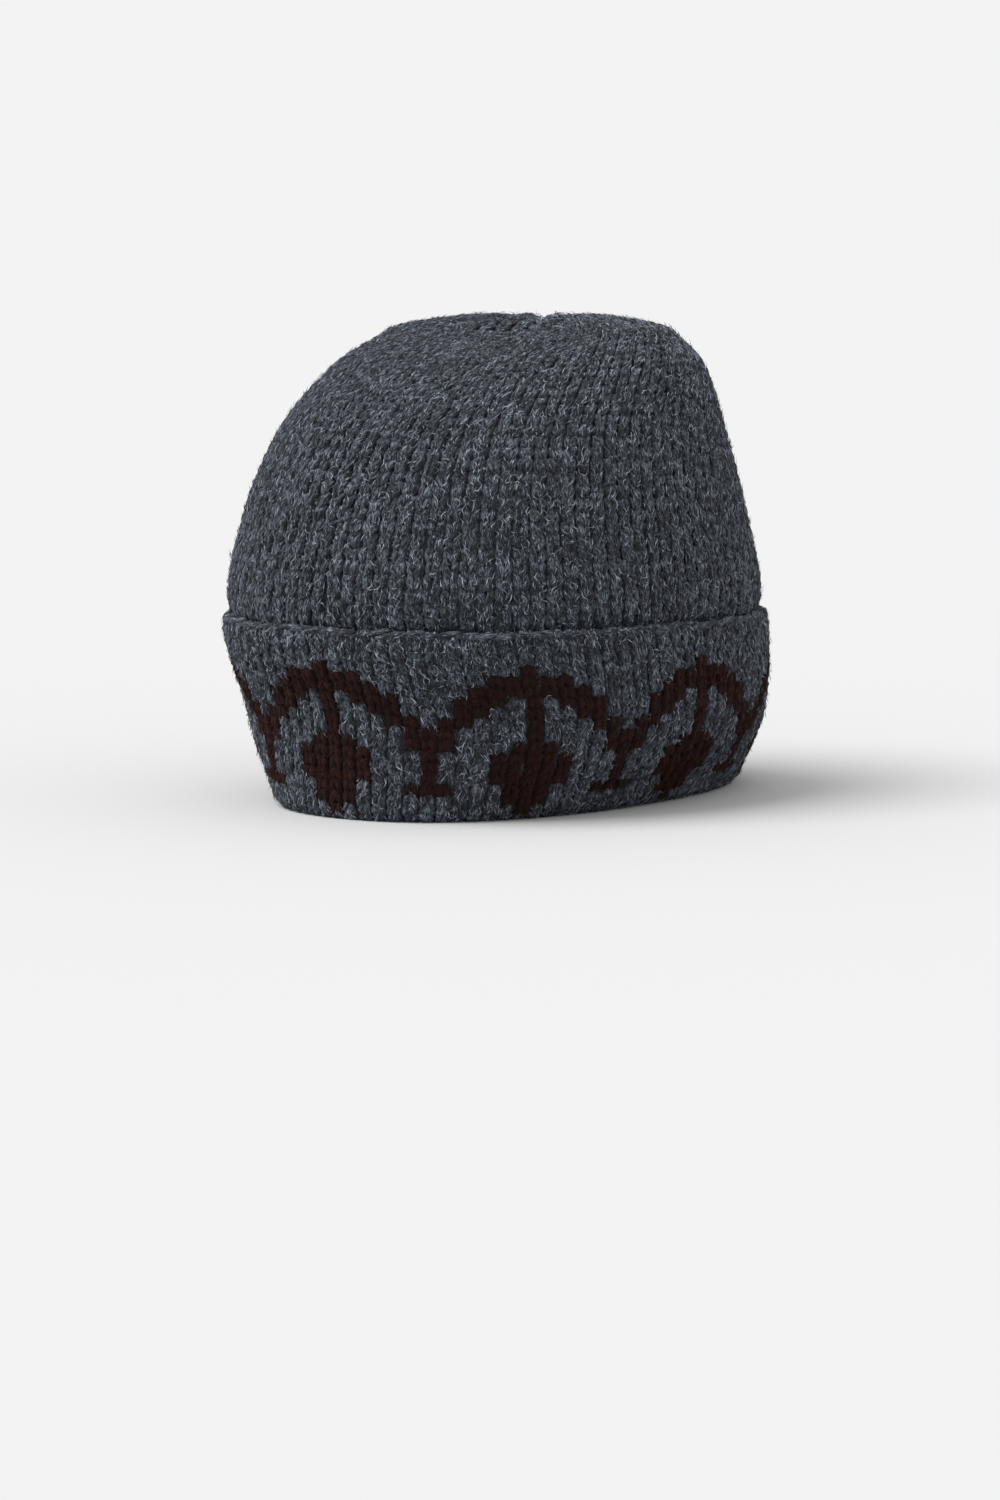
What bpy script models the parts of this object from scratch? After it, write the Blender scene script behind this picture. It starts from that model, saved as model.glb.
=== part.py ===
"""A knitted cuffed beanie, standing on its rim as it keeps its form by itself.

The crown is one hollow knitted wall, gathered shut on top. The cuff is the wall's lower end, turned up on
the outside: a band with a thick fold at the rim. Metres, +Z up, the forehead towards -Y, the wearer's left
towards +X, and the rim on z = 0.
"""

import math

import bmesh
import bpy
import numpy as np

# Driving sizes.
HEIGHT = 0.194
CUFF_HEIGHT = 0.075
HALF_WIDTH = 0.1020
FRONT_LENGTH = 0.1340
BACK_LENGTH = 0.1076
CROWN_WALL = 0.0040
CUFF_WALL = 0.0045
FOLD_HEIGHT = 0.009
GAP = 0.0004
# Room under the crown's end, whose inner edge dips where the wall leans inwards.
LEAN_ROOM = 0.0012

AROUND = 56

# Outer form: height as a share of HEIGHT, then the half width, front and back as shares of theirs.
# Squareness is the exponent of a nearly elliptic section: 2 is an ellipse, and more is squarer.
SECTION_SHARES = (
    # height, half width, front, back, squareness
    (0.00, 0.725, 0.900, 1.000, 2.25),
    (0.18, 0.930, 0.909, 0.955, 2.25),
    (0.38, 1.000, 1.000, 0.818, 2.25),
    (0.58, 0.950, 0.935, 0.699, 2.20),
    (0.76, 0.870, 0.785, 0.612, 2.15),
    (0.90, 0.775, 0.460, 0.565, 2.10),
    (0.97, 0.640, 0.100, 0.478, 2.10),
)

# Gathered top: height as a share of HEIGHT, spread of the last section's, pleat depth of CROWN_WALL.
GATHER_SHARES = (
    # height, spread, pleat depth
    (0.977, 0.93, 0.05),
    (0.986, 0.82, 0.15),
    (0.994, 0.66, 0.30),
    (0.999, 0.48, 0.45),
    (1.000, 0.31, 0.50),
    (0.996, 0.17, 0.40),
    (0.988, 0.07, 0.20),
)
PLEATS = 8

# How far the crown lies inside the outer form, by height above the cuff's edge: both as shares of its
# depth under the cuff.
UNDER_CUFF = CUFF_WALL + GAP
INSET_SHARES = (
    # height above the edge, inset
    (-0.40, 1.00),
    (0.00, 0.94),
    (0.40, 0.65),
    (1.20, 0.37),
    (2.90, 0.12),
    (5.30, 0.00),
)

# The fold's section, from its inner face round to its outer one: height, and how far it is set back from
# the nearer face, both as shares of FOLD_HEIGHT.
FOLD_INNER_SHARES = (
    # height, set back
    (1.00, 0.13),
    (0.87, 0.00),
    (0.39, 0.00),
    (0.11, 0.11),
    (0.00, 0.31),
)
FOLD_OUTER_SHARES = (
    # height, set back
    (0.00, 0.29),
    (0.11, 0.09),
    (0.38, 0.00),
)

# Levels of the cuff as shares of its height, and of the crown from the cuff's edge to the last section.
CUFF_SHARES = (0.088, 0.225, 0.338, 0.451, 0.576, 0.702, 0.827, 0.950)
CROWN_SHARES = (0.195, 0.317, 0.440, 0.562, 0.667, 0.755, 0.825, 0.878, 0.930, 0.974, 1.0)

CROWN_COLOUR = (0.045, 0.050, 0.060, 1.0)
CUFF_COLOUR = (0.052, 0.054, 0.066, 1.0)
WOOL_ROUGHNESS = 0.95


def clear_scene():
    for thing in list(bpy.data.objects):
        bpy.data.objects.remove(thing, do_unlink=True)


def smooth_curve(at, xs, ys):
    """Reads a smooth curve through the points that never overshoots them."""
    xs = np.array(xs)
    ys = np.array(ys)
    steps = np.diff(xs)
    slopes = np.diff(ys) / steps
    tangents = np.empty(len(xs))
    tangents[0] = slopes[0]
    tangents[-1] = slopes[-1]
    for i in range(1, len(xs) - 1):
        before, after = slopes[i - 1], slopes[i]
        if before * after <= 0:
            tangents[i] = 0.0
            continue
        weight_before = 2 * steps[i] + steps[i - 1]
        weight_after = steps[i] + 2 * steps[i - 1]
        total = weight_before + weight_after
        tangents[i] = total / (weight_before / before + weight_after / after)
    at = min(max(at, xs[0]), xs[-1])
    i = min(int(np.searchsorted(xs, at, side="right")) - 1, len(steps) - 1)
    step = steps[i]
    share = (at - xs[i]) / step
    rest = 1 - share
    value = ys[i] * (1 + 2 * share) * rest**2 + tangents[i] * step * share * rest**2
    return value + ys[i + 1] * share**2 * (3 - 2 * share) - tangents[i + 1] * step * share**2 * rest


def section_sizes(height_share):
    heights = [row[0] for row in SECTION_SHARES]
    width, front, back, squareness = (
        smooth_curve(height_share, heights, [row[i] for row in SECTION_SHARES]) for i in (1, 2, 3, 4)
    )
    return width * HALF_WIDTH, front * FRONT_LENGTH, back * BACK_LENGTH, squareness


def section_points(height_share):
    """The outer form's section as AROUND points, evenly spaced from the front round by the left."""
    width, front, back, squareness = section_sizes(height_share)
    angles = np.linspace(0, 2 * math.pi, 721)
    power = 2 / squareness
    across = width * np.sign(np.sin(angles)) * np.abs(np.sin(angles)) ** power
    along = np.cos(angles)
    along = np.where(along > 0, -front, back) * np.abs(along) ** power
    run = np.concatenate(([0], np.cumsum(np.hypot(np.diff(across), np.diff(along)))))
    stations = np.linspace(0, run[-1], AROUND, endpoint=False)
    centre = (FRONT_LENGTH - BACK_LENGTH) / 2
    return np.stack((np.interp(stations, run, across), np.interp(stations, run, along) + centre), 1)


def inset_points(points, inset):
    """Moves a section's points inwards, square to the section."""
    tangent = np.roll(points, -1, 0) - np.roll(points, 1, 0)
    inward = np.stack((-tangent[:, 1], tangent[:, 0]), 1)
    return points + inset * inward / np.linalg.norm(inward, axis=1, keepdims=True)


def form_ring(height, inset):
    points = inset_points(section_points(height / HEIGHT), inset)
    return [(x, y, height) for x, y in points]


def gather_ring(height_share, spread, pleat_share):
    """A ring of the gathered top, drawn in towards its middle and pleated."""
    points = section_points(SECTION_SHARES[-1][0])
    middle = points.mean(0)
    points = middle + (points - middle) * spread
    height = height_share * HEIGHT
    turns = 2 * math.pi * PLEATS * np.arange(AROUND) / AROUND
    heights = height - pleat_share * CROWN_WALL * (1 - np.cos(turns)) / 2
    return [(x, y, z) for (x, y), z in zip(points, heights)]


def crown_rings():
    edge = CUFF_HEIGHT
    above_edge = SECTION_SHARES[-1][0] * HEIGHT - edge
    rises = [share * UNDER_CUFF for share, _ in INSET_SHARES]
    insets = [share * UNDER_CUFF for _, share in INSET_SHARES]
    heights = [FOLD_HEIGHT + LEAN_ROOM]
    heights += [share * CUFF_HEIGHT for share in CUFF_SHARES[1:]]
    heights += [edge + rise for rise in rises[:-1]]
    heights += [edge + share * above_edge for share in CROWN_SHARES]
    rings = [form_ring(height, smooth_curve(height - edge, rises, insets)) for height in heights]
    rings += [gather_ring(*row) for row in GATHER_SHARES]
    return rings


def cuff_rings():
    """Round the band's outline: up its outer face, over its edge, down inside and round the fold."""
    half = CUFF_WALL / 2
    rings = [form_ring(share * CUFF_HEIGHT, 0.0) for share in CUFF_SHARES]
    for degrees in (15, 50, 90, 130, 165):
        turn = math.radians(degrees)
        rings.append(form_ring(CUFF_HEIGHT - half + half * math.sin(turn), half - half * math.cos(turn)))
    rings += [form_ring(share * CUFF_HEIGHT, CUFF_WALL) for share in reversed(CUFF_SHARES[1:])]
    rings.append(form_ring(FOLD_HEIGHT, CUFF_WALL))
    fold_width = CUFF_WALL + CROWN_WALL + 2 * GAP
    for height, back in FOLD_INNER_SHARES:
        rings.append(form_ring(height * FOLD_HEIGHT, fold_width - back * FOLD_HEIGHT))
    for height, back in FOLD_OUTER_SHARES:
        rings.append(form_ring(height * FOLD_HEIGHT, back * FOLD_HEIGHT))
    return rings


def wool(name, colour):
    material = bpy.data.materials.new(name)
    material.use_nodes = True
    shader = material.node_tree.nodes["Principled BSDF"]
    shader.inputs["Base Color"].default_value = colour
    shader.inputs["Roughness"].default_value = WOOL_ROUGHNESS
    shader.inputs["Metallic"].default_value = 0.0
    return material


def loft(name, rings, ends_meet, material):
    """Joins each ring to the next with faces: a loop of rings, or a dome whose last ring is filled."""
    bm = bmesh.new()
    loops = [[bm.verts.new(point) for point in ring] for ring in rings]
    pairs = list(zip(loops, loops[1:]))
    if ends_meet:
        pairs.append((loops[-1], loops[0]))
    for lower, upper in pairs:
        for i in range(AROUND):
            bm.faces.new((lower[i - 1], lower[i], upper[i], upper[i - 1]))
    if not ends_meet:
        cap = bm.faces.new(loops[-1])
        bmesh.ops.poke(bm, faces=[cap])
    bmesh.ops.recalc_face_normals(bm, faces=bm.faces)
    mesh = bpy.data.meshes.new(name)
    bm.to_mesh(mesh)
    bm.free()
    mesh.shade_smooth()
    mesh.materials.append(material)
    piece = bpy.data.objects.new(name, mesh)
    bpy.context.scene.collection.objects.link(piece)
    return piece


def add_crown():
    crown = loft("crown", crown_rings(), False, wool("charcoal_wool", CROWN_COLOUR))
    wall = crown.modifiers.new("knitted_wall", "SOLIDIFY")
    wall.thickness = CROWN_WALL
    wall.offset = -1.0
    wall.use_even_offset = True


def add_cuff():
    loft("cuff", cuff_rings(), True, wool("cuff_wool", CUFF_COLOUR))


def main():
    clear_scene()
    add_crown()
    add_cuff()


main()
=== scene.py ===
"""A chunky cuffed beanie of brushed charcoal wool, with a brown arcade border in its turned-up cuff.

Every stitch is two legs of thick yarn, laid along the wales of the hat's form, under a nap of loose fibres.
"""

import math

import bmesh
import bpy
import numpy as np
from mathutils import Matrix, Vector


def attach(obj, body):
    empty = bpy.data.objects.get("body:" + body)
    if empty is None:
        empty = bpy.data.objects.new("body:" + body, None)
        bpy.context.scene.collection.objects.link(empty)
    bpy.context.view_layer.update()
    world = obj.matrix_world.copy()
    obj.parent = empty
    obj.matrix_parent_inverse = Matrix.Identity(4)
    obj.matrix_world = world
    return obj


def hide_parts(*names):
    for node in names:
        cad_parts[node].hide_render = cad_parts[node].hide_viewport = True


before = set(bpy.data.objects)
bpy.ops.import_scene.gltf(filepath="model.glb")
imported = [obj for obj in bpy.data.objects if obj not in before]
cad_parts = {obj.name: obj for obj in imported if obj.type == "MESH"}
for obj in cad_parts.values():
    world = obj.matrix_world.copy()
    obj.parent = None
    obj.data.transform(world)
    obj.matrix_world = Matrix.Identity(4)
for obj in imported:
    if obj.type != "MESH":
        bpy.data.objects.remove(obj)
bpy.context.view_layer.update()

bl_info = {
    "name": "Cuffed Beanie",
    "version": (1, 0, 0),
    "blender": (4, 5, 0),
    "location": "View3D > Sidebar > Beanie",
    "description": "Knits a cuffed beanie stitch by stitch and sets it on a pale floor",
    "category": "Add Mesh",
}

# Outer form: height as a share of the hat's, then the half width, front and back as shares of theirs.
# Squareness is the exponent of a nearly elliptic section: 2 is an ellipse, and more is squarer.
SECTIONS = np.array(
    [
        # height, half width, front, back, squareness
        (0.00, 0.725, 0.900, 1.000, 2.25),
        (0.18, 0.930, 0.909, 0.955, 2.25),
        (0.38, 1.000, 1.000, 0.818, 2.25),
        (0.58, 0.950, 0.935, 0.699, 2.20),
        (0.76, 0.870, 0.785, 0.612, 2.15),
        (0.90, 0.775, 0.460, 0.565, 2.10),
        (0.97, 0.640, 0.100, 0.478, 2.10),
    ]
)

# Gathered top: height share, spread as a share of the last section, and depth of its pleats.
GATHER = np.array(
    [
        # height, spread, pleat depth
        (0.970, 1.000, 0.0000),
        (0.977, 0.930, 0.0002),
        (0.986, 0.820, 0.0006),
        (0.994, 0.660, 0.0012),
        (0.999, 0.480, 0.0018),
        (1.000, 0.310, 0.0020),
        (0.996, 0.170, 0.0016),
        (0.988, 0.070, 0.0008),
        (0.986, 0.010, 0.0000),
    ]
)
PLEATS = 8

# The crown's outer face lies this far inside the form, by height above the cuff's edge.
CROWN_INSET = np.array(
    [
        # height above the edge, inset
        (-0.0020, 0.0049),
        (0.0000, 0.0046),
        (0.0020, 0.0032),
        (0.0060, 0.0018),
        (0.0140, 0.0006),
        (0.0260, 0.0000),
    ]
)

# One repeat of the border: for each wale out from a pendant's middle, the rows in brown from the rim up.
BORDER = (
    # first row, last row, then a second stretch if there is one
    (2, 15),
    (3, 8, 13, 14),
    (5, 7, 12, 14),
    (11, 13),
    (10, 12),
    (4, 4, 8, 10),
    (4, 9),
)
REPEAT = 12

# Wales left in each row of the gathered top, from its shoulder to its middle.
TOP_WALES = (84, 76, 68, 60, 52, 44, 36, 30, 24, 18, 12, 8)

# Rows of stitches on the cuff, round the fold at the rim, and on the crown up to its gathered top.
CUFF_ROWS = 18
HEM_ROWS = 4
CROWN_ROWS = 28
# The crown's row that starts its upper piece, and how far below the cuff's edge its outer face starts, in
# rows and in metres.
UPPER_ROW = 13
ROWS_BEHIND_CUFF = 2
DEPTH_BEHIND_CUFF = 0.009

# The face of the knitting is read from rings of points, so many round and so many to a row.
SAMPLES = 384
FINE_STEPS = 1440
RINGS_PER_ROW = 6
CROWN_RINGS = 48
TOP_RINGS = 30
TOP_START = 0.97

# The cuff's face: down behind the fold, round it, up the band and over the edge. Heights are above the
# rim, except that the band's head is this far below the edge.
FOLD_RADIUS = 0.0046
FOLD_RINGS = 13
BEHIND_FOLD = (0.0153, 0.0120, 0.0080)
BAND_RINGS = 20
BAND_FOOT = 0.010
BAND_HEAD = 0.008
EDGE_TURN = (
    # below the edge, inset
    (0.0050, 0.0001),
    (0.0025, 0.0003),
    (0.0008, 0.0009),
    (0.0000, 0.0020),
    (0.0004, 0.0034),
    (0.0020, 0.0042),
    (0.0040, 0.0043),
)
# Nothing of the hat reaches below this height above the floor.
LEAST_HEIGHT = 0.0001

# The dense wall behind the stitches: the crown's thickness, where its foot is and how many rows that is
# below the cuff's edge, the purl ridges on its inside and over how many rings they fade out on top, and
# how deep behind the face each skin lies.
WALL = 0.0040
LINING_FOOT = 0.0105
LINING_ROWS = 14
RIDGE_SET = 0.0002
RIDGE_HEIGHT = 0.0003
RIDGE_FADE = 12
CROWN_BACKING = 0.0022
CUFF_BACKING = 0.0020
CUFF_LINING = 0.0034

# A pod is a closed shape with this many sides and rings. Blunter ends have a smaller exponent, and a
# stitch's pod is rolled round by this much.
STITCH_POD = (5, 3)
FIBRE_POD = (3, 1)
POD_BLUNTNESS = 0.35
POD_ROLL = 0.3 * math.pi

# A stitch's leg. Across, in wales: how far out it starts, how much further out it ends, and its slope at
# the apex, which its fibres follow. Along, in rows: where its apex is and how far down it runs. Off the
# face, in half depths: how deep its ends lie, how far its middle bows out along this part of a sine, and
# how much prouder its apex is.
LEG_START = 0.105
LEG_SPREAD = 0.150
LEG_SLOPE = 0.24
LEG_APEX = 0.72
LEG_RUN = 1.50
LEG_SUNK = -1.60
LEG_BOW = 1.05
BOW_PART = (0.16, 0.74)
LEG_PROUD = 0.30

# How uneven the stitches are: spreads of a leg's tilt, shift and slip, its width and length, its lumps, and
# its rise in metres.
UNEVEN_PLACE = (0.06, 0.035, 0.05)
UNEVEN_SIZE = (0.08, 0.05)
LUMPS = 0.06
UNEVEN_RISE = 0.00015

# The chain's links: length in wales, rows below the edge, slant and half width in rows, rise and half depth
# in metres, then how uneven they are: lumps, and spreads in wales, rows and metres.
LINK_LENGTH = 1.5
LINK_BELOW = 0.42
LINK_SLANT = 0.34
LINK_WIDTH = 0.26
LINK_RISE = 0.0005
LINK_DEPTH = 0.0011
LINK_LUMPS = 0.12
UNEVEN_LINK = (0.04, 0.09, 0.00025)

# The nap's fibres: spreads round the leg and of their heading in radians, curl and ranges of length and
# thickness as shares of their own, the share that stands off, and ranges of how far a fibre stands off, is
# lifted, and has its ends sunk, in metres.
ROUND_LEG = 0.75
OFF_HEADING = 0.6
CURL = 0.24
LENGTHS = (0.5, 1.5)
RADII = (0.6, 1.4)
STANDING_SHARE = 0.14
STANDING = (0.0003, 0.0013)
LIFT = (0.0000, 0.0003)
SINK = (0.0001, 0.0005)
# The row under the cuff's edge that the edge's own fibres lie on, and how much denser they are there.
# These fibres take only the middle to lightest tones: a painted highlight along the raised edge.
EDGE_ROW = CUFF_ROWS - 0.9
EDGE_DENSITY = 2

# Sizes of the wool's patterns in millimetres. Real fibres are 0.03 mm thick, too fine to show, so the
# strands and filaments are drawn as coarse as a render of the whole hat can show.
LEG_RADIUS_MM = 1.6
LEG_LENGTH_MM = 6.5
STRAND_MM = 0.53
FILAMENT_MM = 0.60
HEATHER_MM = 5.3
FELT_MM = 1.1
# The yarn's twist, and the scale of its pattern along the yarn, which draws the filaments out. Then how
# much the heather's patches and the pale filaments add to the strands' own tone.
TWIST = math.radians(18)
DRAWN_OUT = 0.3
HEATHER_SHARE = 0.5
FILAMENT_SHARE = 0.17

# The bloom of each wool where it is seen edge on, and the tones of the felted inside.
YARN_BLOOM = "#A8ADB5"
BROWN_YARN_BLOOM = "#A8452E"
FIBRE_BLOOM = "#C8CCD2"
BROWN_FIBRE_BLOOM = "#B04C36"
FELT_BLOOM = "#9A9EA6"
FELT_DARK = "#1B1E24"
FELT_LIGHT = "#565B65"

# The stage: which way the light shines and how wide it is, half the floor's side, and how far below the
# hat's middle the camera aims, which sets the hat's place in the picture.
KEY_TOWARD = (0.35, 0.55, -1.0)
KEY_WIDTH = math.radians(35)
FLOOR_HALF = 400
AIM_BELOW = 0.080

# Where each draw of random numbers starts.
CUFF_SEED = 5
CHAIN_SEED = 9
CROWN_SEED = 11


def linear(hex_colour):
    """An sRGB hex colour as linear red, green, blue and alpha."""
    parts = [int(hex_colour[i : i + 2], 16) / 255 for i in (1, 3, 5)]
    parts = [c / 12.92 if c <= 0.04045 else ((c + 0.055) / 1.055) ** 2.4 for c in parts]
    return (*parts, 1.0)


class HatSizes(bpy.types.PropertyGroup):
    height: bpy.props.FloatProperty(
        name="Height", description="Rim to gathered top", default=0.194, unit="LENGTH"
    )
    cuff: bpy.props.FloatProperty(
        name="Cuff", description="Depth of the turned-up cuff", default=0.075, unit="LENGTH"
    )
    half_width: bpy.props.FloatProperty(
        name="Half width", description="Widest half width, at the cuff's edge", default=0.1020, unit="LENGTH"
    )
    front: bpy.props.FloatProperty(
        name="Front reach", description="From the middle to the forehead side", default=0.1340, unit="LENGTH"
    )
    back: bpy.props.FloatProperty(
        name="Back reach", description="From the middle to the back", default=0.1076, unit="LENGTH"
    )
    wales: bpy.props.IntProperty(name="Wales", description="Columns of stitches round the hat", default=96)


class YarnLooks(bpy.types.PropertyGroup):
    charcoal: bpy.props.StringProperty(
        name="Charcoal", description="Main tone of the grey wool", default="#242831"
    )
    # The darkest grey colours the wool's dark fibres and is also painted shade in the low hollows between
    # strands.
    charcoal_dark: bpy.props.StringProperty(
        name="Dark strands", description="Darkest grey strands", default="#0A0B0F"
    )
    charcoal_light: bpy.props.StringProperty(
        name="Light strands", description="Lightest grey strands", default="#7C8593"
    )
    brown: bpy.props.StringProperty(
        name="Brown", description="Main tone of the border's wool", default="#100706"
    )
    # The darkest brown is likewise the border wool's dark fibres and also painted shade in the hollows
    # between strands.
    brown_dark: bpy.props.StringProperty(
        name="Dark brown", description="Darkest border strands", default="#070404"
    )
    brown_light: bpy.props.StringProperty(
        name="Rust strands", description="Lightest border strands", default="#32170F"
    )
    leg_width: bpy.props.FloatProperty(
        name="Leg half width", description="Half width of a stitch's leg, in wales", default=0.27
    )
    leg_depth: bpy.props.FloatProperty(
        name="Leg half depth", description="Half thickness of a stitch's leg", default=0.00135, unit="LENGTH"
    )


class NapLooks(bpy.types.PropertyGroup):
    crown_fibres: bpy.props.FloatProperty(
        name="Crown fibres", description="Loose fibres on each stitch of the crown", default=15.0
    )
    cuff_fibres: bpy.props.FloatProperty(
        name="Cuff fibres", description="Loose fibres on each stitch of the cuff", default=18.0
    )
    length: bpy.props.FloatProperty(
        name="Length", description="Mean fibre length", default=0.0034, unit="LENGTH"
    )
    radius: bpy.props.FloatProperty(
        name="Radius", description="Fibre half thickness", default=0.00013, unit="LENGTH"
    )
    dark: bpy.props.StringProperty(name="Dark", description="Darkest grey fibres", default="#08090C")
    middle: bpy.props.StringProperty(name="Middle", description="Middle grey fibres", default="#272B35")
    light: bpy.props.StringProperty(name="Light", description="Lightest grey fibres", default="#BAC3D2")
    brown_dark: bpy.props.StringProperty(
        name="Dark brown", description="Darkest brown fibres", default="#0A0504"
    )
    brown_middle: bpy.props.StringProperty(
        name="Brown", description="Middle brown fibres", default="#100706"
    )
    brown_light: bpy.props.StringProperty(
        name="Rust", description="Lightest brown fibres", default="#3C1C15"
    )


class StageLooks(bpy.types.PropertyGroup):
    backdrop: bpy.props.StringProperty(
        name="Backdrop", description="Colour behind the floor", default="#F3F3F3"
    )
    key: bpy.props.FloatProperty(name="Key light", description="Strength of the soft sun", default=2.6)
    azimuth: bpy.props.FloatProperty(
        name="Azimuth",
        description="Camera angle from the front to the left",
        default=math.radians(36.5),
        subtype="ANGLE",
    )
    elevation: bpy.props.FloatProperty(
        name="Elevation",
        description="Camera angle above the hat's middle",
        default=math.radians(4),
        subtype="ANGLE",
    )
    distance: bpy.props.FloatProperty(
        name="Distance", description="Camera to the hat", default=1.7, unit="LENGTH"
    )
    lens: bpy.props.FloatProperty(
        name="Lens", description="Focal length in millimetres", default=100.0, unit="CAMERA"
    )


def sizes():
    return bpy.context.scene.beanie_sizes


def yarn():
    return bpy.context.scene.beanie_yarn


def nap():
    return bpy.context.scene.beanie_nap


def stage_looks():
    return bpy.context.scene.beanie_stage


def smooth_curve(at, xs, ys):
    """Reads a smooth curve through the points that never overshoots them."""
    at = np.clip(np.asarray(at, float), xs[0], xs[-1])
    steps = np.diff(xs)
    slopes = np.diff(ys) / steps
    tangents = np.concatenate((slopes[:1], np.zeros(len(xs) - 2), slopes[-1:]))
    before, after = slopes[:-1], slopes[1:]
    turning = before * after <= 0
    weight_before = 2 * steps[1:] + steps[:-1]
    weight_after = steps[1:] + 2 * steps[:-1]
    safe_before = np.where(turning, 1, before)
    safe_after = np.where(turning, 1, after)
    mean = (weight_before + weight_after) / (weight_before / safe_before + weight_after / safe_after)
    tangents[1:-1] = np.where(turning, 0, mean)
    i = np.clip(np.searchsorted(xs, at, side="right") - 1, 0, len(steps) - 1)
    share = (at - xs[i]) / steps[i]
    rest = 1 - share
    value = ys[i] * (1 + 2 * share) * rest**2 + tangents[i] * steps[i] * share * rest**2
    return value + ys[i + 1] * share**2 * (3 - 2 * share) - tangents[i + 1] * steps[i] * share**2 * rest


def section(height_share):
    """The form's section at a height, as points evenly spaced from the front round by the left."""
    size = sizes()
    width, front, back, squareness = (
        float(smooth_curve(height_share, SECTIONS[:, 0], SECTIONS[:, i])) for i in (1, 2, 3, 4)
    )
    angles = np.linspace(0, 2 * math.pi, FINE_STEPS + 1)
    power = 2 / squareness
    across = width * size.half_width * np.sign(np.sin(angles)) * np.abs(np.sin(angles)) ** power
    along = np.cos(angles)
    along = np.where(along > 0, -front * size.front, back * size.back) * np.abs(along) ** power
    run = np.concatenate(([0], np.cumsum(np.hypot(np.diff(across), np.diff(along)))))
    stations = np.linspace(0, run[-1], SAMPLES, endpoint=False)
    centre = (size.front - size.back) / 2
    return np.stack((np.interp(stations, run, across), np.interp(stations, run, along) + centre), 1)


class KnitFace:
    """A face of the knitting that can be read at any wale share and row."""

    def __init__(self, rings, rows):
        self.rings = np.array(rings)
        self.rows = np.asarray(rows, float)
        round_ = np.roll(self.rings, -1, 1) - np.roll(self.rings, 1, 1)
        up = np.gradient(self.rings, self.rows, axis=0)
        self.round_size = np.linalg.norm(round_, axis=2) * SAMPLES / 2
        self.row_size = np.linalg.norm(up, axis=2)
        normal = np.cross(round_, up)
        self.normals = normal / np.maximum(np.linalg.norm(normal, axis=2, keepdims=True), 1e-12)

    def read(self, grid, wale, row):
        column = np.mod(wale, 1.0) * SAMPLES
        left = np.floor(column).astype(int) % SAMPLES
        right = (left + 1) % SAMPLES
        blend = column - np.floor(column)
        place = np.clip(np.interp(row, self.rows, np.arange(len(self.rows))), 0, len(self.rows) - 1.0001)
        low = np.floor(place).astype(int)
        lift = place - low
        if grid.ndim == 3:
            blend, lift = blend[..., None], lift[..., None]
        lower = grid[low, left] * (1 - blend) + grid[low, right] * blend
        upper = grid[low + 1, left] * (1 - blend) + grid[low + 1, right] * blend
        return lower * (1 - lift) + upper * lift

    def lay(self, wale, row, rise):
        """Points that rise from the face at a wale share and row."""
        return self.read(self.rings, wale, row) + self.read(self.normals, wale, row) * rise[..., None]


def ring_at(height, inset, spread=1.0, pleat=0.0):
    """A ring of the form: drawn in square to it by inset, then towards its middle by spread."""
    points = section(min(height / sizes().height, SECTIONS[-1, 0]))
    tangent = np.roll(points, -1, 0) - np.roll(points, 1, 0)
    inward = np.stack((-tangent[:, 1], tangent[:, 0]), 1)
    points = points + inset * inward / np.linalg.norm(inward, axis=1, keepdims=True)
    middle = points.mean(0)
    points = middle + (points - middle) * spread
    turns = 2 * math.pi * PLEATS * np.arange(SAMPLES) / SAMPLES
    return np.column_stack((points, height - pleat * (1 - np.cos(turns)) / 2))


def even_rows(rings, count):
    """Respaces the rings so that every wale, from its start to its end, is cut into equal lengths."""
    steps = np.linalg.norm(np.diff(rings, axis=0), axis=2)
    run = np.concatenate((np.zeros((1, SAMPLES)), np.cumsum(steps, 0)))
    spaced = np.empty((count, SAMPLES, 3))
    for wale in range(SAMPLES):
        stations = np.linspace(0, run[-1, wale], count)
        for axis in range(3):
            spaced[:, wale, axis] = np.interp(stations, run[:, wale], rings[:, wale, axis])
    return spaced


def cuff_face():
    """From inside the fold, round under the rim, up the outer side and over the cuff's edge."""
    edge = sizes().cuff
    path = [(height, 2 * FOLD_RADIUS) for height in BEHIND_FOLD]
    for turn in np.linspace(0, math.pi, FOLD_RINGS):
        path.append((FOLD_RADIUS * (1 - math.sin(turn)), FOLD_RADIUS * (1 + math.cos(turn))))
    path += [(height, 0.0) for height in np.linspace(BAND_FOOT, edge - BAND_HEAD, BAND_RINGS)]
    path += [(edge - below, inset) for below, inset in EDGE_TURN]
    rings = np.array([ring_at(*place) for place in path])
    rings = even_rows(rings, RINGS_PER_ROW * (HEM_ROWS + CUFF_ROWS + 1))
    return KnitFace(rings, np.linspace(-HEM_ROWS, CUFF_ROWS + 1, len(rings)))


def crown_face(low, rows_below):
    """From a height behind the cuff up to the middle of the gathered top."""
    size = sizes()
    top = SECTIONS[-1, 0] * size.height
    rings = []
    for height in np.linspace(low, top, CROWN_RINGS):
        inset = float(smooth_curve(height - size.cuff, CROWN_INSET[:, 0], CROWN_INSET[:, 1]))
        rings.append(ring_at(height, inset))
    for spread in np.linspace(TOP_START, GATHER[-1, 1], TOP_RINGS):
        share, pleat = (float(smooth_curve(-spread, -GATHER[:, 1], GATHER[:, i])) for i in (0, 2))
        rings.append(ring_at(share * size.height, 0.0, spread, pleat))
    last = CROWN_ROWS + len(TOP_WALES)
    rings = even_rows(np.array(rings), RINGS_PER_ROW * (rows_below + last))
    return KnitFace(rings, np.linspace(-rows_below, last, len(rings)))


def crown_outside():
    """The crown's face from just behind the cuff's edge, which carries its stitches."""
    return crown_face(sizes().cuff - DEPTH_BEHIND_CUFF, ROWS_BEHIND_CUFF)


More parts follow.
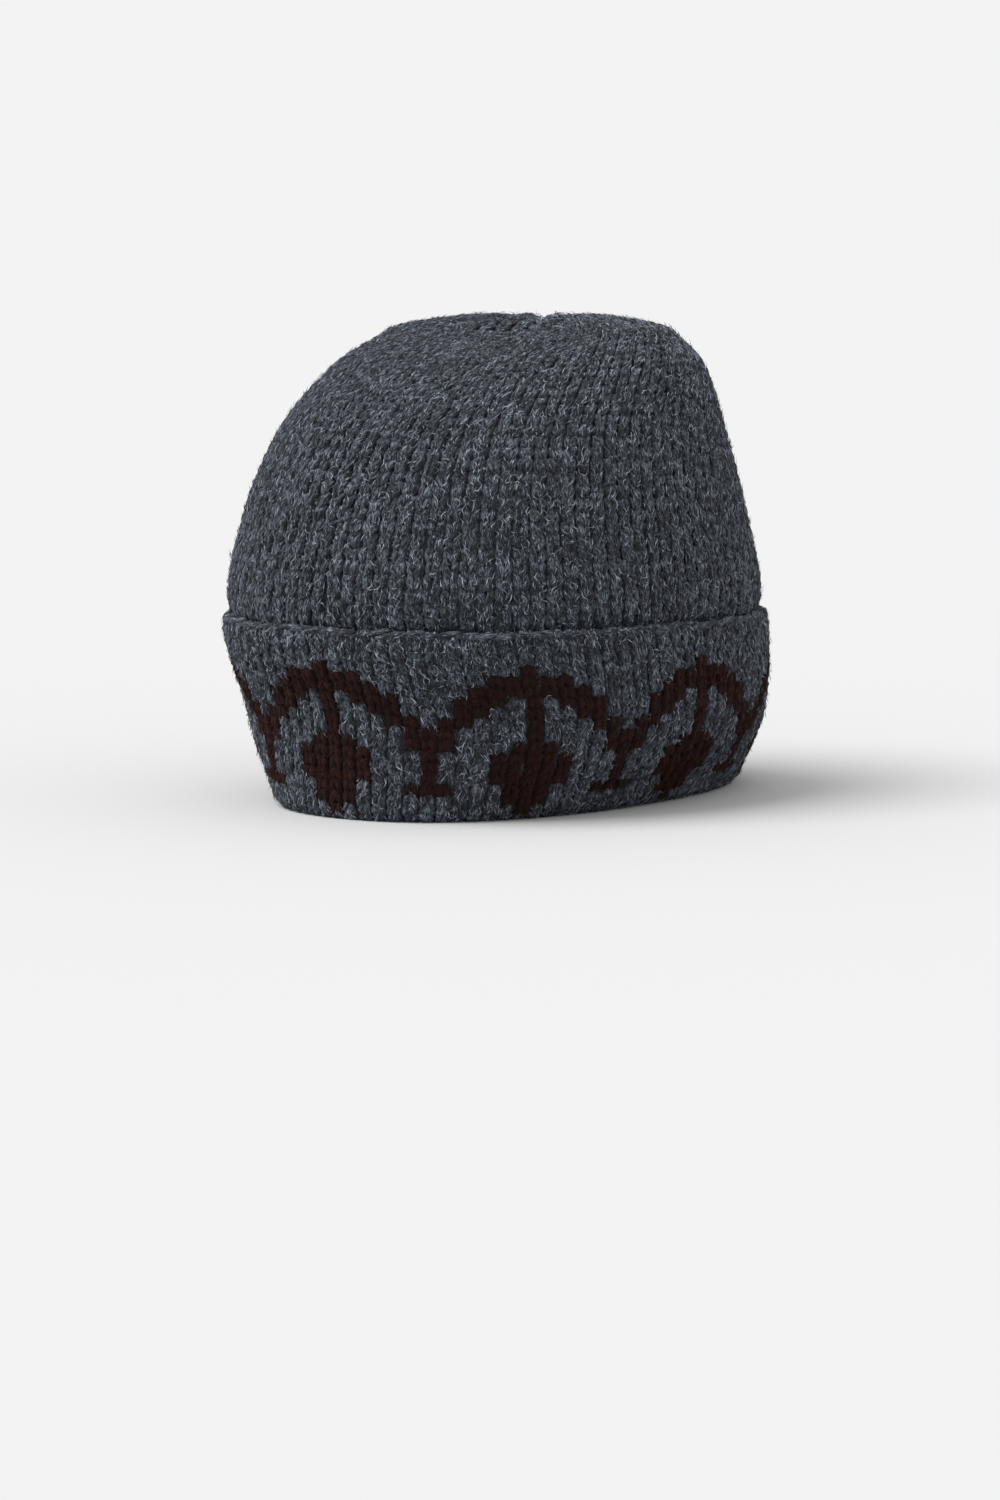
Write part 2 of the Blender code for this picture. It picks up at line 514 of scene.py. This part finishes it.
def behind(face, depth, row_step, wale_step):
    """Every so many points of a face, moved to a depth behind it."""
    rings, normals = face.rings[::row_step, ::wale_step], face.normals[::row_step, ::wale_step]
    return rings - normals * depth


def pod_shape(sides, rings):
    """A closed pod along Z: for each point the turn round it, share along it and fullness, then the faces."""
    bm = bmesh.new()
    bmesh.ops.create_uvsphere(bm, u_segments=sides, v_segments=rings + 1, radius=1.0)
    bmesh.ops.triangulate(bm, faces=bm.faces)
    points = np.array([vert.co for vert in bm.verts])
    faces = np.array([[vert.index for vert in face.verts] for face in bm.faces])
    bm.free()
    turn = np.mod(np.arctan2(points[:, 1], points[:, 0]) + math.pi / sides, 2 * math.pi)
    share = (1 - points[:, 2]) / 2
    full = np.clip(1 - points[:, 2] ** 2, 0, 1) ** POD_BLUNTNESS
    return turn, share, full, faces


def leg_place(share, turn, full):
    """Where a stitch's leg runs from its apex to its foot: wale and row shares, and rise from the face."""
    look = yarn()
    bow = np.sin(math.pi * (BOW_PART[0] + BOW_PART[1] * share))
    side = LEG_START + LEG_SPREAD * np.sin(math.pi / 2 * share) + look.leg_width * full * np.cos(turn)
    climb = LEG_APEX - LEG_RUN * share
    rise = look.leg_depth * (LEG_SUNK + LEG_BOW * bow + LEG_PROUD * (1 - share) + full * np.sin(turn))
    return side, climb, rise


def lay_stitches(face, stitches, apex_up, seed):
    """Both legs of every stitch, given as rows of its wale, row and how many wales its row has."""
    random = np.random.default_rng(seed)
    turn, share, full, shape = pod_shape(*STITCH_POD)
    turn = turn - POD_ROLL
    side, climb, rise = leg_place(share, turn, full)
    wales, rows, around = stitches.T[:, :, None]
    count = len(stitches)
    points, uvs, faces = [], [], []
    for mirror in (1, -1):
        tilt, shift, slip = random.normal(0, UNEVEN_PLACE, (count, 3)).T[:, :, None]
        wide, tall = random.normal(1, UNEVEN_SIZE, (count, 2)).T[:, :, None]
        lumps = random.normal(1, LUMPS, (count, len(share)))
        proud = random.normal(0, UNEVEN_RISE, (count, 1))
        across = mirror * side * wide * lumps + tilt * climb + shift
        up = (climb * tall + slip) * (1 if apex_up else -1)
        place = face.lay((wales + across) / around, rows + 0.5 + up, rise * lumps + proud)
        points.append(place.reshape(-1, 3))
        drift = random.uniform(0, 60, (count, 1))
        around_yarn, along_yarn = turn * LEG_RADIUS_MM + drift, share * LEG_LENGTH_MM + 1.7 * drift
        uvs.append(np.stack(np.broadcast_arrays(around_yarn, along_yarn), 2).reshape(-1, 2))
        starts = np.arange(count)[:, None, None] * len(share) + (0 if mirror == 1 else count * len(share))
        outward = shape if (mirror == 1) == apex_up else shape[:, ::-1]
        faces.append((outward + starts).reshape(-1, 3))
    return np.concatenate(points), np.concatenate(faces), np.concatenate(uvs)


def finished_piece(name, mesh, material):
    """A smooth piece of one material, riding on the hat."""
    mesh.shade_smooth()
    mesh.materials.append(material)
    piece = bpy.data.objects.new(name, mesh)
    bpy.context.scene.collection.objects.link(piece)
    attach(piece, "root")
    return piece


def mesh_piece(name, points, faces, material, uvs=None, tones=None):
    """A piece from joined copies of one shape."""
    points = np.array(points, float)
    points[:, 2] = np.maximum(points[:, 2], LEAST_HEIGHT)
    mesh = bpy.data.meshes.new(name)
    mesh.vertices.add(len(points))
    mesh.vertices.foreach_set("co", points.astype(np.float32).ravel())
    corners = faces.shape[1]
    mesh.loops.add(faces.size)
    mesh.loops.foreach_set("vertex_index", faces.astype(np.int32).ravel())
    mesh.polygons.add(len(faces))
    mesh.polygons.foreach_set("loop_start", (np.arange(len(faces)) * corners).astype(np.int32))
    mesh.update(calc_edges=True)
    if uvs is not None:
        layer = mesh.uv_layers.new(name="yarn")
        layer.uv.foreach_set("vector", uvs[faces.ravel()].astype(np.float32).ravel())
    if tones is not None:
        tone = mesh.attributes.new("tone", "FLOAT", "POINT")
        tone.data.foreach_set("value", tones.astype(np.float32))
    mesh.validate()
    return finished_piece(name, mesh, material)


def lay_fibres(face, stitches, count, apex_up, seed):
    """Loose fibres bent over the stitches' legs, most lying nearly along them and a few standing off."""
    look = nap()
    random = np.random.default_rng(seed)
    wale, row, around = stitches[random.integers(0, len(stitches), count)].T
    mirror = random.choice((-1, 1), count)
    sense = 1 if apex_up else -1
    share = random.uniform(0.0, 1.0, count)
    side, climb, rise = leg_place(share, random.normal(math.pi / 2, ROUND_LEG, count), np.ones(count))
    wale = (wale + mirror * side) / around
    row = row + 0.5 + sense * climb
    round_size = np.maximum(face.read(face.round_size, wale, row), 0.02)
    row_size = np.maximum(face.read(face.row_size, wale, row), 0.001)
    slope = mirror * LEG_SLOPE * np.cos(math.pi / 2 * share) * round_size / around
    heading = np.arctan2(-LEG_RUN * sense * row_size, slope) + random.normal(0, OFF_HEADING, count)
    length = look.length * random.uniform(*LENGTHS, count)
    curl = random.normal(0, CURL, count) * length
    standing = random.uniform(0, 1, count) < STANDING_SHARE
    stands_off = np.where(standing, random.uniform(*STANDING, count), 0)
    lift = random.uniform(*LIFT, count)
    sink = random.uniform(*SINK, count)
    ends = lift - sink
    spots = []
    for along, aside, raised in ((-0.5 * length, 0, ends), (0, curl, lift), (0.5 * length, 0, ends)):
        across = (along * np.cos(heading) - aside * np.sin(heading)) / round_size
        up = (along * np.sin(heading) + aside * np.cos(heading)) / row_size
        spots.append((wale + across, row + up, rise + raised))
    start, middle, end = (face.lay(*spot) for spot in spots)
    normal = face.read(face.normals, wale, row)
    end = end + normal * (1.5 * stands_off)[:, None]
    middle = middle + normal * 0.5 * stands_off[:, None]
    spine = end - start
    sideways = np.cross(normal, spine)
    sideways /= np.maximum(np.linalg.norm(sideways, axis=1, keepdims=True), 1e-9)
    turn, share_along, full, shape = pod_shape(*FIBRE_POD)
    thick = look.radius * random.uniform(*RADII, count)[:, None]
    points = np.empty((count, len(turn), 3))
    for i, (angle, part, wide) in enumerate(zip(turn, share_along, full)):
        base = start if part < 0.25 else end if part > 0.75 else middle
        points[:, i] = base + wide * thick * (math.cos(angle) * sideways + math.sin(angle) * normal)
    faces = shape[None] + np.arange(count)[:, None, None] * len(turn)
    tones = np.repeat(random.uniform(0, 1, count), len(turn))
    return points.reshape(-1, 3), faces.reshape(-1, 3), tones


def add_node(material, kind, settings, links):
    """Adds a node: its settings by name or input, and its inputs linked from other nodes' outputs."""
    tree = material.node_tree
    made = tree.nodes.new(kind)
    for name, value in settings.items():
        if isinstance(name, str) and hasattr(made, name):
            setattr(made, name, value)
        else:
            made.inputs[name].default_value = value
    for name, (source, output) in links.items():
        tree.links.new(source.outputs[output], made.inputs[name])
    return made


def wool_shader(material, tint, sheen):
    """Wool scatters light in its scales: matt all over, with a soft bloom where it is seen edge on."""
    shader = material.node_tree.nodes["Principled BSDF"]
    shader.inputs["Roughness"].default_value = 0.85
    shader.inputs["IOR"].default_value = 1.45
    shader.inputs["Specular IOR Level"].default_value = 0.25
    shader.inputs["Sheen Weight"].default_value = sheen
    shader.inputs["Sheen Roughness"].default_value = 0.45
    shader.inputs["Sheen Tint"].default_value = linear(tint)
    return shader


def yarn_wool(name, dark, main, light, tint, sheen):
    """Carded and brushed woollen yarn of blended light and dark fibres.

    The eye sees a mottled heather whose pale filaments curl along each twisted leg over near-black hollows.
    The tone that sets the colour is also the bump's height, so the near-black in the low hollows between
    strands is painted shade, on top of the heather's own dark fibres.
    """
    if name in bpy.data.materials:
        return bpy.data.materials[name]
    material = bpy.data.materials.new(name)
    material.use_nodes = True
    shader = wool_shader(material, tint, sheen)
    uv = add_node(material, "ShaderNodeUVMap", {"uv_map": "yarn"}, {})
    twist = add_node(
        material,
        "ShaderNodeMapping",
        {"Rotation": (0, 0, TWIST), "Scale": (1.0, DRAWN_OUT, 1)},
        {"Vector": (uv, "UV")},
    )
    strands = add_node(
        material,
        "ShaderNodeTexNoise",
        {"Scale": 1 / STRAND_MM, "Detail": 3.0, "Roughness": 0.6, "Distortion": 0.5},
        {"Vector": (twist, "Vector")},
    )
    curls = add_node(
        material,
        "ShaderNodeTexNoise",
        {
            "noise_dimensions": "2D",
            "Scale": 1 / FILAMENT_MM,
            "Detail": 1.0,
            "Roughness": 0.5,
            "Distortion": 0.7,
        },
        {"Vector": (twist, "Vector")},
    )
    off_ridge = add_node(material, "ShaderNodeMath", {"operation": "SUBTRACT", 1: 0.5}, {0: (curls, "Fac")})
    away = add_node(material, "ShaderNodeMath", {"operation": "ABSOLUTE"}, {0: (off_ridge, "Value")})
    filament = add_node(
        material,
        "ShaderNodeMapRange",
        {"From Min": 0.0, "From Max": 0.045, "To Min": 1.0, "To Max": 0.0},
        {"Value": (away, "Value")},
    )
    place = add_node(material, "ShaderNodeTexCoord", {}, {})
    heather = add_node(
        material,
        "ShaderNodeTexNoise",
        {"Scale": 1000 / HEATHER_MM, "Detail": 3.0, "Roughness": 0.65},
        {"Vector": (place, "Object")},
    )
    both = add_node(
        material,
        "ShaderNodeMath",
        {"operation": "MULTIPLY_ADD", 1: HEATHER_SHARE},
        {0: (heather, "Fac"), 2: (strands, "Fac")},
    )
    lit = add_node(
        material,
        "ShaderNodeMath",
        {"operation": "MULTIPLY_ADD", 1: FILAMENT_SHARE},
        {0: (filament, "Result"), 2: (both, "Value")},
    )
    # The ramp's dark stop falls where the tone, and so the bump, is lowest: painted shade in the hollows
    # between strands, as well as the wool's own dark fibres.
    ramp = add_node(material, "ShaderNodeValToRGB", {}, {"Fac": (lit, "Value")})
    band = ramp.color_ramp
    band.elements[0].position, band.elements[0].color = 0.66, linear(dark)
    band.elements[1].position, band.elements[1].color = 0.96, linear(light)
    band.elements.new(0.80).color = linear(main)
    bump = add_node(
        material, "ShaderNodeBump", {"Strength": 1.0, "Distance": 0.0007}, {"Height": (lit, "Value")}
    )
    material.node_tree.links.new(ramp.outputs["Color"], shader.inputs["Base Color"])
    material.node_tree.links.new(bump.outputs["Normal"], shader.inputs["Normal"])
    return material


def fibre_wool(name, dark, middle, light, tint, sheen):
    """Loose wool fibres raised by brushing: each has its own tone, so the nap looks like sprinkled flecks."""
    if name in bpy.data.materials:
        return bpy.data.materials[name]
    material = bpy.data.materials.new(name)
    material.use_nodes = True
    shader = wool_shader(material, tint, sheen)
    tone = add_node(material, "ShaderNodeAttribute", {"attribute_name": "tone"}, {})
    ramp = add_node(material, "ShaderNodeValToRGB", {}, {"Fac": (tone, "Fac")})
    band = ramp.color_ramp
    band.elements[0].position, band.elements[0].color = 0.0, linear(dark)
    band.elements[1].position, band.elements[1].color = 1.0, linear(light)
    band.elements.new(0.5).color = linear(middle)
    material.node_tree.links.new(ramp.outputs["Color"], shader.inputs["Base Color"])
    return material


def backing_wool(name, dark, light):
    """Wool felted by wear and washing: a dark, dense, dull ground without a visible strand."""
    if name in bpy.data.materials:
        return bpy.data.materials[name]
    material = bpy.data.materials.new(name)
    material.use_nodes = True
    shader = wool_shader(material, FELT_BLOOM, 0.2)
    place = add_node(material, "ShaderNodeTexCoord", {}, {})
    fuzz = add_node(
        material,
        "ShaderNodeTexNoise",
        {"Scale": 1000 / FELT_MM, "Detail": 4.0, "Roughness": 0.7},
        {"Vector": (place, "Object")},
    )
    ramp = add_node(material, "ShaderNodeValToRGB", {}, {"Fac": (fuzz, "Fac")})
    band = ramp.color_ramp
    band.elements[0].position, band.elements[0].color = 0.35, linear(dark)
    band.elements[1].position, band.elements[1].color = 0.7, linear(light)
    bump = add_node(
        material, "ShaderNodeBump", {"Strength": 0.8, "Distance": 0.0005}, {"Height": (fuzz, "Fac")}
    )
    material.node_tree.links.new(ramp.outputs["Color"], shader.inputs["Base Color"])
    material.node_tree.links.new(bump.outputs["Normal"], shader.inputs["Normal"])
    return material


def charcoal_yarn():
    look = yarn()
    tones = look.charcoal_dark, look.charcoal, look.charcoal_light
    return yarn_wool("charcoal_wool_yarn", *tones, YARN_BLOOM, 0.35)


def brown_yarn():
    look = yarn()
    tones = look.brown_dark, look.brown, look.brown_light
    return yarn_wool("brown_wool_yarn", *tones, BROWN_YARN_BLOOM, 0.16)


def in_border(wale, row):
    """True where the chart has brown: row 1 is the first above the rim."""
    out = (wale + REPEAT // 2) % REPEAT - REPEAT // 2
    stretch = BORDER[abs(out)]
    return any(first <= row <= last for first, last in zip(stretch[::2], stretch[1::2]))


def stitch_rows(rows, wales):
    """Every stitch of some rows that all have the same wales."""
    return np.array([(wale, row, wales) for row in rows for wale in range(wales)], float)


def cuff_stitches():
    """The cuff's stitches, split into charcoal and brown."""
    stitches = stitch_rows(range(-HEM_ROWS, CUFF_ROWS), sizes().wales)
    brown = np.array([in_border(int(wale), int(row) + 1) for wale, row, _ in stitches])
    return stitches[~brown], stitches[brown]


def crown_stitches():
    """The crown's stitches: its lower and upper rows, and the rows of its gathered top."""
    wales = sizes().wales
    lower = stitch_rows(range(1 - ROWS_BEHIND_CUFF, UPPER_ROW), wales)
    upper = stitch_rows(range(UPPER_ROW, CROWN_ROWS), wales)
    top = [stitch_rows([CROWN_ROWS + i], count) for i, count in enumerate(TOP_WALES)]
    return lower, upper, np.concatenate(top)


def lay_chain(face, seed):
    """The bound-off chain along the cuff's edge: one slanting link on each wale."""
    random = np.random.default_rng(seed)
    turn, share, full, shape = pod_shape(*STITCH_POD)
    turn = turn - POD_ROLL
    count = sizes().wales
    in_wales, in_rows, in_metres = UNEVEN_LINK
    wale = np.arange(count)[:, None] + LINK_LENGTH * share - LINK_LENGTH / 2
    wale = wale + random.normal(0, in_wales, (count, 1))
    lumps = random.normal(1, LINK_LUMPS, (count, len(share)))
    row = CUFF_ROWS - LINK_BELOW + LINK_SLANT * (share - 0.5) + LINK_WIDTH * full * lumps * np.cos(turn)
    row = row + random.normal(0, in_rows, (count, 1))
    rise = LINK_RISE + LINK_DEPTH * full * lumps * np.sin(turn) + random.normal(0, in_metres, (count, 1))
    points = face.lay(wale / count, row, rise)
    drift = random.uniform(0, 60, (count, 1))
    uvs = np.stack(np.broadcast_arrays(turn * LEG_RADIUS_MM + drift, share * LEG_LENGTH_MM + drift), 2)
    faces = shape[None] + np.arange(count)[:, None, None] * len(share)
    return points.reshape(-1, 3), faces.reshape(-1, 3), uvs.reshape(-1, 2)


def closed_skin(name, rings, ends_meet, material):
    """A closed skin through rings: its last ring meets its first, or each end is drawn to a point."""
    if ends_meet:
        rings = np.concatenate((rings, rings[:1]))
    else:
        poles = np.broadcast_to(rings[[0, -1]].mean(1, keepdims=True), (2, rings.shape[1], 3))
        rings = np.concatenate((poles[:1], rings, poles[1:]))
    rings = np.concatenate((rings, rings[:, :1]), 1)
    rings[:, :, 2] = np.maximum(rings[:, :, 2], LEAST_HEIGHT)
    bm = bmesh.new()
    bmesh.ops.create_grid(bm, x_segments=rings.shape[1] - 1, y_segments=rings.shape[0] - 1, size=1.0)
    for vert, point in zip(bm.verts, rings.reshape(-1, 3)):
        vert.co = point
    bmesh.ops.remove_doubles(bm, verts=bm.verts, dist=1e-6)
    bmesh.ops.recalc_face_normals(bm, faces=bm.faces)
    bmesh.ops.triangulate(bm, faces=bm.faces)
    mesh = bpy.data.meshes.new(name)
    bm.to_mesh(mesh)
    bm.free()
    return finished_piece(name, mesh, material)


class BEANIE_OT_crown(bpy.types.Operator):
    """Knit the crown and its gathered top"""

    bl_idname = "beanie.crown"
    bl_label = "Crown"

    def execute(self, context):
        face = crown_outside()
        names = ("crown_lower_knit", "crown_upper_knit", "crown_top_knit")
        for i, (name, stitches) in enumerate(zip(names, crown_stitches())):
            points, faces, uvs = lay_stitches(face, stitches, False, CROWN_SEED + i)
            piece = mesh_piece(name, points, faces, charcoal_yarn(), uvs)
            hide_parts("crown")
        return {"FINISHED"}


class BEANIE_OT_cuff(bpy.types.Operator):
    """Knit the turned-up cuff with its border"""

    bl_idname = "beanie.cuff"
    bl_label = "Cuff and border"

    def execute(self, context):
        face = cuff_face()
        names = ("cuff_knit", "cuff_border_knit")
        for i, (name, stitches) in enumerate(zip(names, cuff_stitches())):
            points, faces, uvs = lay_stitches(face, stitches, True, CUFF_SEED + i)
            piece = mesh_piece(name, points, faces, (charcoal_yarn, brown_yarn)[i](), uvs)
            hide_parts("cuff")
        points, faces, uvs = lay_chain(face, CHAIN_SEED)
        piece = mesh_piece("cuff_edge_chain", points, faces, charcoal_yarn(), uvs)
        return {"FINISHED"}


class BEANIE_OT_lining(bpy.types.Operator):
    """Make the dense wall behind the stitches, with the purl ridges of the hat's inside"""

    bl_idname = "beanie.lining"
    bl_label = "Inside"

    def execute(self, context):
        material = backing_wool("felted_wool_inside", FELT_DARK, FELT_LIGHT)
        face = crown_face(LINING_FOOT, LINING_ROWS)
        bumps = 1 + 0.5 * np.cos(math.pi * np.arange(SAMPLES // 2))
        ridges = np.cos(2 * math.pi * face.rows)[::2, None] * bumps
        ridges[-RIDGE_FADE:] *= np.linspace(1, 0, RIDGE_FADE)[:, None]
        depth = WALL - RIDGE_SET + RIDGE_HEIGHT * ridges
        inner = behind(face, depth[:, :, None], 2, 2)
        outer = behind(face, CROWN_BACKING, 6, 2)
        piece = closed_skin("crown_inside", np.concatenate((inner[::-1], outer)), False, material)
        face = cuff_face()
        outer = behind(face, CUFF_BACKING, 3, 4)
        inner = behind(face, CUFF_LINING, 3, 4)
        piece = closed_skin("cuff_inside", np.concatenate((inner[::-1], outer)), True, material)
        return {"FINISHED"}


class BEANIE_OT_nap(bpy.types.Operator):
    """Raise the brushed nap of loose fibres"""

    bl_idname = "beanie.nap"
    bl_label = "Nap"

    def execute(self, context):
        look = nap()
        crown, cuff = crown_outside(), cuff_face()
        lower, upper, top = crown_stitches()
        grey_cuff, brown_cuff = cuff_stitches()
        edge = stitch_rows([EDGE_ROW], sizes().wales)
        grey = fibre_wool("charcoal_wool_fibres", look.dark, look.middle, look.light, FIBRE_BLOOM, 0.2)
        # Fibres of the middle to lightest grey for the cuff's raised edge: a painted highlight along it.
        pale = fibre_wool("edge_highlight_wool_fibres", look.middle, look.middle, look.light, FIBRE_BLOOM, 0.3)
        tones = look.brown_dark, look.brown_middle, look.brown_light
        brown = fibre_wool("brown_wool_fibres", *tones, BROWN_FIBRE_BLOOM, 0.22)
        for name, face, stitches, density, material, apex_up, slot in (
            ("crown_lower_nap", crown, lower, look.crown_fibres, grey, False, "crown_wool"),
            ("crown_upper_nap", crown, upper, look.crown_fibres, grey, False, "crown_wool"),
            ("crown_top_nap", crown, top, look.crown_fibres, grey, False, "crown_wool"),
            ("cuff_nap", cuff, grey_cuff, look.cuff_fibres, grey, True, "cuff_wool"),
            ("cuff_border_nap", cuff, brown_cuff, look.cuff_fibres, brown, True, "cuff_wool"),
            ("cuff_edge_nap", cuff, edge, EDGE_DENSITY * look.cuff_fibres, pale, True, "cuff_wool"),
        ):
            count = int(len(stitches) * density)
            points, faces, tones = lay_fibres(face, stitches, count, apex_up, len(name) + count)
            piece = mesh_piece(name, points, faces, material, None, tones)
        return {"FINISHED"}


def soft_sun(name, toward, strength, softness):
    """A distant studio light, as wide as softness, that reaches everything evenly."""
    data = bpy.data.lights.new(name, "SUN")
    data.energy = strength
    data.angle = softness
    light = bpy.data.objects.new(name, data)
    light.rotation_euler = Vector(toward).to_track_quat("-Z", "Y").to_euler()
    bpy.context.scene.collection.objects.link(light)


class BEANIE_OT_stage(bpy.types.Operator):
    """Set the pale floor, the studio light and the camera"""

    bl_idname = "beanie.stage"
    bl_label = "Stage"

    def execute(self, context):
        look = stage_looks()
        scene = bpy.context.scene
        scene.view_settings.view_transform = "Standard"
        bm = bmesh.new()
        bmesh.ops.create_grid(bm, x_segments=2, y_segments=2, size=FLOOR_HALF)
        mesh = bpy.data.meshes.new("floor")
        bm.to_mesh(mesh)
        bm.free()
        paint = bpy.data.materials.new("matt_paper_floor")
        paint.use_nodes = True
        shader = paint.node_tree.nodes["Principled BSDF"]
        backdrop = linear(look.backdrop)
        drop = Vector(KEY_TOWARD).normalized().z
        floor_share = 1 / (1 - look.key * drop / math.pi / backdrop[1])
        shader.inputs["Base Color"].default_value = (floor_share, floor_share, floor_share, 1.0)
        shader.inputs["Roughness"].default_value = 1.0
        shader.inputs["Specular IOR Level"].default_value = 0.0
        mesh.materials.append(paint)
        floor = bpy.data.objects.new("floor", mesh)
        scene.collection.objects.link(floor)
        world = bpy.data.worlds.new("studio")
        world.use_nodes = True
        world.node_tree.nodes["Background"].inputs["Color"].default_value = backdrop
        world.node_tree.nodes["Background"].inputs["Strength"].default_value = 1.0
        scene.world = world
        soft_sun("key", KEY_TOWARD, look.key, KEY_WIDTH)
        middle = Vector((0, 0, sizes().height / 2))
        turn, tip = look.azimuth, look.elevation
        back = Vector((math.sin(turn) * math.cos(tip), -math.cos(turn) * math.cos(tip), math.sin(tip)))
        data = bpy.data.cameras.new("camera")
        data.lens = look.lens
        data.sensor_width = 36
        camera = bpy.data.objects.new("camera", data)
        camera.location = middle + back * look.distance
        target = middle - Vector((0, 0, AIM_BELOW))
        camera.rotation_euler = (target - camera.location).to_track_quat("-Z", "Y").to_euler()
        scene.collection.objects.link(camera)
        scene.camera = camera
        return {"FINISHED"}


class BEANIE_PT_panel(bpy.types.Panel):
    """Lists the beanie's pieces"""

    bl_idname = "BEANIE_PT_panel"
    bl_label = "Cuffed Beanie"
    bl_space_type = "VIEW_3D"
    bl_region_type = "UI"
    bl_category = "Beanie"

    def draw(self, context):
        for group in (sizes(), yarn(), nap(), stage_looks()):
            box = self.layout.box()
            for name in group.__annotations__:
                box.prop(group, name)
        for operator in OPERATORS:
            self.layout.operator(operator.bl_idname)


OPERATORS = (BEANIE_OT_crown, BEANIE_OT_cuff, BEANIE_OT_lining, BEANIE_OT_nap, BEANIE_OT_stage)
GROUPS = {
    "beanie_sizes": HatSizes,
    "beanie_yarn": YarnLooks,
    "beanie_nap": NapLooks,
    "beanie_stage": StageLooks,
}


def register():
    for kind in (*GROUPS.values(), *OPERATORS, BEANIE_PT_panel):
        bpy.utils.register_class(kind)
    for name, kind in GROUPS.items():
        setattr(bpy.types.Scene, name, bpy.props.PointerProperty(type=kind))


def unregister():
    for name in GROUPS:
        delattr(bpy.types.Scene, name)
    for kind in reversed((*GROUPS.values(), *OPERATORS, BEANIE_PT_panel)):
        bpy.utils.unregister_class(kind)


def main():
    register()
    bpy.ops.beanie.crown()
    bpy.ops.beanie.cuff()
    bpy.ops.beanie.lining()
    bpy.ops.beanie.nap()
    bpy.ops.beanie.stage()
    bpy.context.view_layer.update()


if __name__ == "__main__":
    main()
